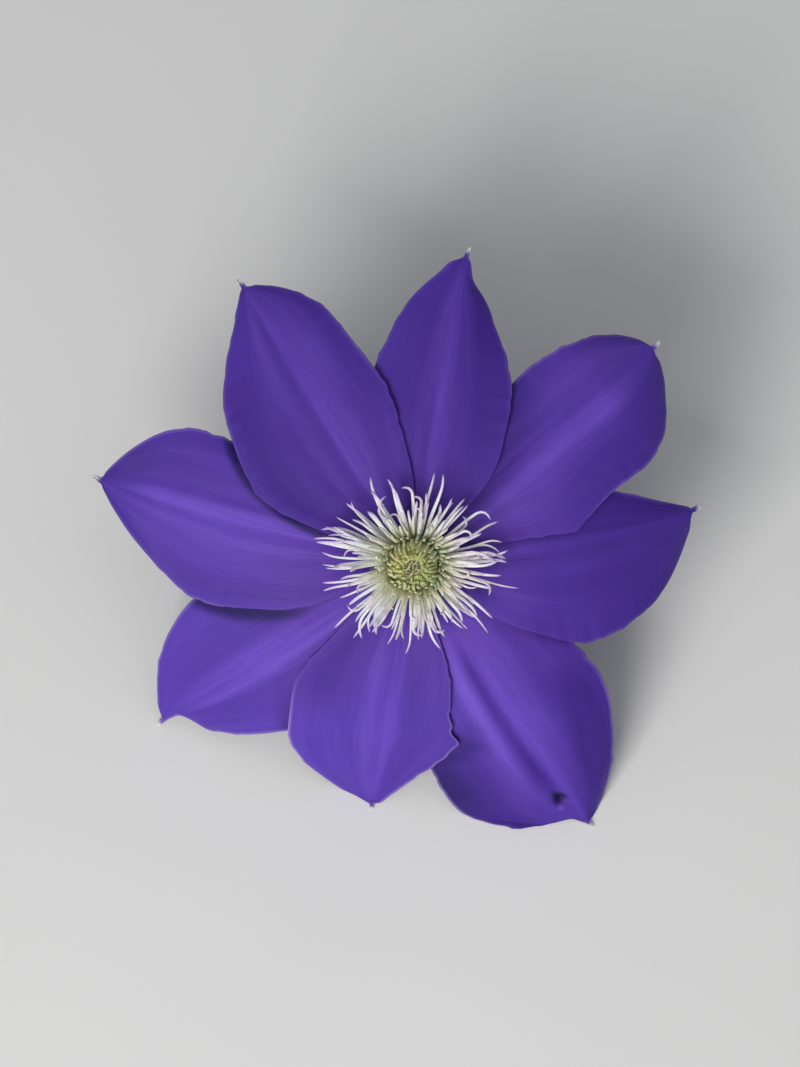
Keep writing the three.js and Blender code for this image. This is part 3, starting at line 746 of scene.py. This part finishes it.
for index in range(len(tepals)):
    own_frame, from_margin = tepal_surface(index, grid_along, grid_across)
    middle = rest_on_surface(own_frame)
    outward = np.cross(np.gradient(middle, axis=0), np.gradient(middle, axis=1))
    outward /= np.linalg.norm(outward, axis=-1, keepdims=True)
    thick = MARGIN_THICKNESS + (BLADE_THICKNESS - MARGIN_THICKNESS) * smooth(from_margin, 0, 2.5)
    thick = thick + CLAW_THICKENING * (1 - smooth(grid_along, 0, 0.1))
    near_point = smooth(grid_along, 0.965, 0.978) * (1 - smooth(grid_along, 0.98, 1))
    thick = thick + POINT_THICKENING * near_point
    upper = middle + outward * thick[..., None] / 2
    lower = middle - outward * thick[..., None] / 2
    points = np.vstack([upper.reshape(-1, 3), lower.reshape(-1, 3)])
    # Painted shade: how much each face, its flanks and its dark bands are darkened.
    shade_depth = np.where(grid_across > 0, *FLANK_SHADE[index]) * smooth(np.abs(grid_across), 0.12, 0.5)
    shade_depth = shade_depth * smooth(grid_along, 0.25, 0.55) + painted_bands_of(index, grid_along, grid_across, -1)
    shade_depth = np.clip(FACE_SHADE[index] + shade_depth, 0, 1)
    # Painted highlight bands.
    painted_highlight = painted_bands_of(index, grid_along, grid_across, 1)
    shade = shade_under(index, grid_along, own_frame)
    pinch_shadow = np.zeros_like(grid_along)
    if index == PINCHED_TEPAL:
        # A dark ragged painted shadow in the pinched dip, a painted highlight beside it, and painted shade
        # in the corner under its neighbour.
        x = TEPAL_ROOT + (tepals[index]["reach"] - TEPAL_ROOT) * grid_along - PINCH_PLACE[0]
        y = grid_across * half_width(index, x + PINCH_PLACE[0], grid_across > 0) - PINCH_PLACE[1]
        ragged = 1 + 0.35 * np.sin(3 * np.arctan2(y, x) + 1)
        pinch_shadow = np.exp(-(((x**2 + y**2) * ragged / PINCH_SHADOW_SPREAD) ** 2))
        painted_highlight = np.maximum(painted_highlight, np.exp(-((x - 2.1) ** 2 + (y + 0.9) ** 2) / 0.3))
        corner = smooth(grid_along, 0.45, 0.6) * (1 - smooth(grid_along, 0.66, 0.85))
        shade = np.maximum(shade, 0.85 * corner * np.exp(-(((grid_across + 0.98) / 0.34) ** 2)))
    tepal_marks = {
        "along": np.tile(grid_along.ravel(), 2),
        "across": np.tile(grid_across.ravel(), 2),
        "rim": np.tile(from_margin.ravel(), 2),
        "upper": np.repeat((1.0, 0.0), grid_along.size),
        "tone": np.full(2 * grid_along.size, TONES[index]),
        "painted_shade_depth": np.tile(shade_depth.ravel(), 2),
        "painted_highlight": np.tile(painted_highlight.ravel(), 2),
        "pinch_shadow": np.tile(pinch_shadow.ravel(), 2),
        "shade": np.tile(shade.ravel(), 2),
        "rim_highlight": np.full(2 * grid_along.size, RIM_HIGHLIGHTS[index]),
    }
    node = f"tepal_{index + 1}"
    faces = closed_blade(upper, lower)
    make_piece(f"violet_{node}", points, faces, [tepal_skin], [node], tepal_marks)

# White stamens
# More than two hundred flat narrow filaments, in eight rings and a few loose sheaves that grow round
# the knob and spread over the tepals. They are creamy white with a greenish foot and a lilac tip.
# Each tapers, and many tips hook sideways or curl.

RING_NAMES = ("count", "root", "height", "length", "rise", "fall", "width", "spread", "pale")
white_rings = [
    (27, 4.7, 2.3, 14.4, 31, -12, 0.68, 0.1, 0),
    (27, 4.65, 2.35, 13.4, 38, -3, 0.72, 0.09, 0),
    (28, 4.6, 2.45, 12.0, 46, 6, 0.76, 0.08, 0),
    (29, 4.6, 2.5, 10.6, 53, 17, 0.78, 0.07, 0.1),
    (28, 4.7, 2.6, 9.2, 58, 30, 0.78, 0.05, 0.35),
    (26, 4.7, 2.65, 8.0, 63, 43, 0.74, 0.0, 0.65),
    (26, 4.6, 2.7, 7.0, 69, 56, 0.72, 0.0, 0.9),
    (24, 4.5, 2.7, 6.6, 76, 70, 0.7, 0.0, 1.0),
]
# Each sheaf: its direction in degrees, how many filaments, and how far they loop round.
SHEAVES = ((158, 5, 0.5), (13, 4, -0.9), (231, 5, 0.9), (286, 3, 0.3))
COLLAR_SIDES = 48
FILAMENT_SIDES = 8
FILAMENT_STEPS = 18
HOOKS = (-100, -30, -16, -10, -5, 0, 0, 5, 10, 16, 30, 100)
CLUMPS = 9


def filament(ring, turn, curls, blunt, aim=None, loop=0.0):
    """A filament leaves its root at rise, bends over to fall, and may hook, curl or loop at its tip."""
    length = ring["length"] * (1 + ring["spread"] * math.cos(2 * turn)) * draw.uniform(0.8, 1.08)
    rise = math.radians(ring["rise"] + draw.uniform(-6, 6))
    fall = math.radians(ring["fall"] + draw.uniform(-9, 9) * (1 + 1.5 * blunt))
    width = ring["width"] * draw.uniform(0.75, 1.25)
    share = (np.arange(FILAMENT_STEPS) + 0.5) / FILAMENT_STEPS
    curl = math.radians(draw.uniform(-18, 24)) * curls
    hook = math.radians(draw.choice(HOOKS)) * curls
    lift = rise + (fall - rise) * share + curl * smooth(share, 0.62, 1)
    clumping = 0.07 * math.sin(CLUMPS * turn + 0.8) * curls
    heading = turn + (draw.uniform(-0.2, 0.2) - clumping) * share + hook * smooth(share, 0.74, 1)
    if aim is not None:
        heading = turn + 1.5 * (aim - turn) * share + loop * smooth(share, 0.6, 1)
    heading = heading + 0.05 * np.sin(9 * share + turn * 5)
    steps = np.stack([np.cos(lift) * np.cos(heading), np.cos(lift) * np.sin(heading), np.sin(lift)], axis=1)
    root = np.array((math.cos(turn) * ring["root"], math.sin(turn) * ring["root"], ring["height"]))
    line = root + np.vstack([np.zeros(3), np.cumsum(steps * length / FILAMENT_STEPS, axis=0)])
    heading = np.append(heading, heading[-1])
    side = np.stack([-np.sin(heading), np.cos(heading), np.zeros_like(heading)], axis=1)
    roll = draw.uniform(-0.5, 0.5)
    side[:, 2] += np.sin(roll * np.linspace(0, 2, len(side)))
    t = np.linspace(0, 1, FILAMENT_STEPS + 1)
    taper = 0.8 + 0.2 * smooth(t, 0, 0.4) - ((1 - blunt) * 0.45 + blunt * 0.25) * t**2.4
    taper = taper * np.sqrt(np.clip(1 - ((t - 0.93) / 0.076).clip(0) ** 2, 0.03, 1))
    rings = rod(line, side, width / 2 * taper, (0.17 + 0.08 * blunt) * taper, FILAMENT_SIDES)
    return rings, np.repeat(t, FILAMENT_SIDES)


def tuft(name, rings, material, node, collar, curls=1.0, blunt=0.0, sheaves=()):
    """All filaments of a tuft with the collar that they grow from, as one piece."""
    angle = 2 * np.pi * np.arange(COLLAR_SIDES) / COLLAR_SIDES
    stack = turned(collar, angle)
    points = [stack.reshape(-1, 3)]
    faces = [face[::-1] for face in skin_of(stack)]
    along = [np.full(stack.size // 3, 0.3)]
    tones = [np.full(stack.size // 3, 0.5)]
    pales = [np.full(stack.size // 3, 0.5)]
    growing = []
    for number, values in enumerate(rings):
        ring = dict(zip(RING_NAMES, values))
        for k in range(ring["count"]):
            turn = 2 * math.pi * (k + 0.5 * number + draw.uniform(-0.24, 0.24)) / ring["count"]
            growing.append((ring, turn, None, 0.0))
    for degrees, count, loop in sheaves:
        aim = math.radians(degrees)
        for k in range(count):
            ring = dict(zip(RING_NAMES, rings[k % 3]))
            growing.append((ring, aim + 0.07 * (k - (count - 1) / 2), aim, loop))
    start = stack.size // 3
    for ring, turn, aim, loop in growing:
        grown, t = filament(ring, turn, curls, blunt, aim, loop)
        points.append(grown.reshape(-1, 3))
        faces.extend(skin_of(grown, start))
        along.append(t)
        tones.append(np.full(len(t), 0.7 * draw.uniform(0, 1) + 0.15 * (1 + math.cos(turn))))
        pales.append(np.full(len(t), ring["pale"]))
        start += len(t)
    tuft_marks = {
        "along": np.concatenate(along),
        "tone": np.concatenate(tones),
        "pale": np.concatenate(pales),
    }
    return make_piece(name, placed(np.vstack(points)), faces, [material], [node], tuft_marks)


# From the foot to the tip: white, or cream in the inner rings. A few filaments have a rosy blush.
WHITE_RUN = (
    (0.0, (0.66, 0.70, 0.40)), (0.18, (0.79, 0.81, 0.60)), (0.38, (0.90, 0.92, 0.87)),
    (0.7, (0.87, 0.87, 0.89)), (0.88, (0.74, 0.67, 0.82)), (1.0, (0.52, 0.40, 0.70)),
)
CREAM_RUN = ((0.0, (0.60, 0.63, 0.32)), (0.5, (0.75, 0.77, 0.50)), (1.0, (0.83, 0.84, 0.66)))
ROSY = (0.62, 0.40, 0.40)

white_skin, tree, surface = finish_of(
    "white_stamen", Sheen_Weight=0.1, Specular_IOR_Level=0.35, Subsurface_Weight=0.15,
    Subsurface_Scale=0.4 * MM,
)
along = mark_of(tree, "along")
cell = effect(tree, cells, Grain=2400, Patch=350)
blush = level(tree, mark_of(tree, "tone"), (0.68, 0.0), (0.76, 0.6))
blush = count_up(tree, "MULTIPLY", blush, cell["Mottle"])
white = tint(tree, blush, grade(tree, along, *WHITE_RUN), ROSY)
white = tint(tree, mark_of(tree, "pale"), white, grade(tree, along, *CREAM_RUN))
white = tint(tree, 1.0, white, level(tree, cell["Grain"], (0.3, 0.9), (0.7, 1.06)), "MULTIPLY")
grained(tree, surface, white, cell["Grain"], 0.55, 0.42, 0.05 * MM)
WHITE_COLLAR = [(2.3, 2.9), (2.3, 1.65), (3.3, 1.1), (4.4, 1.3), (5.1, 1.9), (5.2, 2.4), (4.7, 2.9)]
tuft("white_stamens", white_rings, white_skin, "stamens", WHITE_COLLAR, sheaves=SHEAVES)

# Green stamens
# The innermost stamens stay short. They stand close and bend in over the middle as a soft
# yellow-green dome, with blunt ends.

green_rings = [
    (26, 4.6, 4.0, 5.2, 62, 78, 0.74, 0, 1.0),
    (28, 4.6, 4.3, 5.5, 70, 112, 0.74, 0, 0.55),
    (28, 4.4, 4.8, 5.5, 78, 136, 0.74, 0, 0.2),
    (27, 3.9, 5.2, 5.2, 84, 140, 0.72, 0, 0),
    (24, 3.4, 5.5, 4.7, 87, 126, 0.7, 0, 0),
    (20, 2.95, 5.7, 4.3, 90, 114, 0.66, 0, 0),
    (15, 2.5, 5.9, 3.9, 90, 106, 0.6, 0, 0),
]
# From the foot to the tip. The dome is greener on its right half, and its outermost ring is creamy,
# lightened further as painted light against the shade between the dome and the white rings.
DOME_RUN = (
    (0.0, (0.46, 0.48, 0.17)), (0.4, (0.61, 0.60, 0.24)), (0.8, (0.66, 0.64, 0.23)),
    (1.0, (0.74, 0.69, 0.30)),
)
DOME_GREEN = (0.35, 0.46, 0.16)
DOME_CREAM_WITH_PAINTED_LIGHT = (0.70, 0.72, 0.52)
DOME_WIDTH = 9
GREENER_SHARE = 0.45

green_skin, tree, surface = finish_of(
    "yellow_green_stamen", Sheen_Weight=0.1, Specular_IOR_Level=0.35, Subsurface_Weight=0.3,
    Subsurface_Scale=0.6 * MM,
)
cell = effect(tree, cells, Grain=2400, Patch=260)
green = grade(tree, mark_of(tree, "along"), *DOME_RUN)
sideways = put(tree, "SeparateXYZ", {0: put(tree, "TexCoord").outputs["Object"]}).outputs["X"]
side = count_up(tree, "MULTIPLY_ADD", sideways, GREENER_SHARE / (DOME_WIDTH * MM), 0.05, clamp=True)
greener = count_up(tree, "MULTIPLY_ADD", mark_of(tree, "tone"), 0.4, side)
green = tint(tree, greener, green, DOME_GREEN)
# Cream on the outermost ring, partly its own colour and partly painted light.
green = tint(tree, mark_of(tree, "pale"), green, DOME_CREAM_WITH_PAINTED_LIGHT)
green = tint(tree, 1.0, green, level(tree, cell["Mottle"], (0, 0.82), (1, 1.1)), "MULTIPLY")
grained(tree, surface, green, cell["Grain"], 0.58, 0.45, 0.06 * MM)
GREEN_COLLAR = [
    (1.95, 8.2), (1.95, 3.2), (4.0, 3.2), (4.4, 3.8), (4.6, 5.0), (4.5, 6.2), (3.9, 7.4), (3.0, 8.2),
    (2.3, 8.5),
]
tuft("green_stamens", green_rings, green_skin, "inner_stamens", GREEN_COLLAR, 0.6, 0.6)

# Styles
# The pistil: a small tuft of thin olive-brown styles on a low core, down in the hollow of the dome.

style_rings = [
    (15, 1.45, 6.8, 2.5, 86, 96, 0.44, 0, 0),
    (11, 1.0, 7.3, 2.2, 88, 86, 0.44, 0, 0),
    (6, 0.5, 7.5, 2.1, 90, 84, 0.44, 0, 0),
]
STYLE_RUN = ((0.0, (0.12, 0.07, 0.02)), (0.5, (0.20, 0.12, 0.035)), (1.0, (0.34, 0.23, 0.08)))
STYLE_GREEN = (0.24, 0.24, 0.07)

style_skin, tree, surface = finish_of("olive_style", Sheen_Weight=0.1, Specular_IOR_Level=0.3)
cell = effect(tree, cells, Grain=2400, Patch=600)
olive = grade(tree, mark_of(tree, "along"), *STYLE_RUN)
olive = tint(tree, count_up(tree, "MULTIPLY", mark_of(tree, "tone"), 0.4), olive, STYLE_GREEN)
olive = tint(tree, 1.0, olive, level(tree, cell["Mottle"], (0, 0.8), (1, 1.1)), "MULTIPLY")
grained(tree, surface, olive, cell["Grain"], 0.65, 0.5, 0.05 * MM)
STYLE_CORE = [(0.15, 4.5), (1.6, 4.5), (1.75, 5.1), (1.75, 7.5), (1.2, 8.3), (0.15, 8.5)]
tuft("olive_styles", style_rings, style_skin, "styles", STYLE_CORE, 0.5, 0.3)

# Surface, light and camera
# A plain pale tabletop in soft light from in front and above, a little from the left. The camera
# looks steeply down at the flower from in front.

TABLE_SIZE = 3.0
FRAME_WIDTH = 0.156
IMAGE_WIDTH = 800
IMAGE_HEIGHT = 1067
CAMERA_DISTANCE = 0.8
CAMERA_ELEVATION = math.radians(71)
FLOWER_CENTRE = Vector((0.0005, -0.0015, 0.032))
TABLE_PALE = (0.80, 0.80, 0.79)
TABLE_PALEST = (0.84, 0.835, 0.825)
SKY_COLOUR = (0.92, 0.95, 1.0)
SKY_STRENGTH = 0.27

table_mesh = bpy.data.meshes.new("pale_table")
half = TABLE_SIZE / 2
corners = [(-half, -half, 0), (half, -half, 0), (half, half, 0), (-half, half, 0)]
table_mesh.from_pydata(corners, [], [(0, 1, 2, 3)])
table = bpy.data.objects.new("pale_table", table_mesh)
bpy.context.scene.collection.objects.link(table)
table_top, tree, surface = finish_of("pale_table_top")
cell = effect(tree, cells, Grain=900, Patch=5)
pale = grade(tree, cell["Mottle"], (0, TABLE_PALE), (1, TABLE_PALEST))
grained(tree, surface, pale, cell["Grain"], 0.7, 0.62, 0.01 * MM)
table_mesh.materials.append(table_top)


def soft_light(name, place, size, power, colour):
    """A square soft light that faces the flower."""
    lamp = bpy.data.lights.new(name, "AREA")
    lamp.size = size
    lamp.energy = power
    lamp.color = colour
    light = bpy.data.objects.new(name, lamp)
    light.location = place
    light.rotation_euler = (FLOWER_CENTRE - Vector(place)).to_track_quat("-Z", "Y").to_euler()
    bpy.context.scene.collection.objects.link(light)


soft_light("window_light", place=(-0.45, -0.85, 0.75), size=0.65, power=11.4, colour=(1.0, 0.985, 0.96))
soft_light("top_light", place=(0.1, -0.1, 0.9), size=0.7, power=0.6, colour=(0.95, 0.97, 1.0))

sky = bpy.data.worlds.new("soft_room")
sky.use_nodes = True
sky.node_tree.nodes["Background"].inputs["Color"].default_value = (*SKY_COLOUR, 1)
sky.node_tree.nodes["Background"].inputs["Strength"].default_value = SKY_STRENGTH
bpy.context.scene.world = sky
bpy.context.scene.view_settings.view_transform = "Standard"

camera = bpy.data.objects.new("camera", bpy.data.cameras.new("camera"))
towards = Vector((0, -math.cos(CAMERA_ELEVATION), math.sin(CAMERA_ELEVATION)))
camera.location = FLOWER_CENTRE + towards * CAMERA_DISTANCE
camera.rotation_euler = (-towards).to_track_quat("-Z", "Y").to_euler()
frame_height = FRAME_WIDTH * IMAGE_HEIGHT / IMAGE_WIDTH
camera.data.lens = camera.data.sensor_width * CAMERA_DISTANCE / frame_height
bpy.context.scene.collection.objects.link(camera)
bpy.context.scene.camera = camera
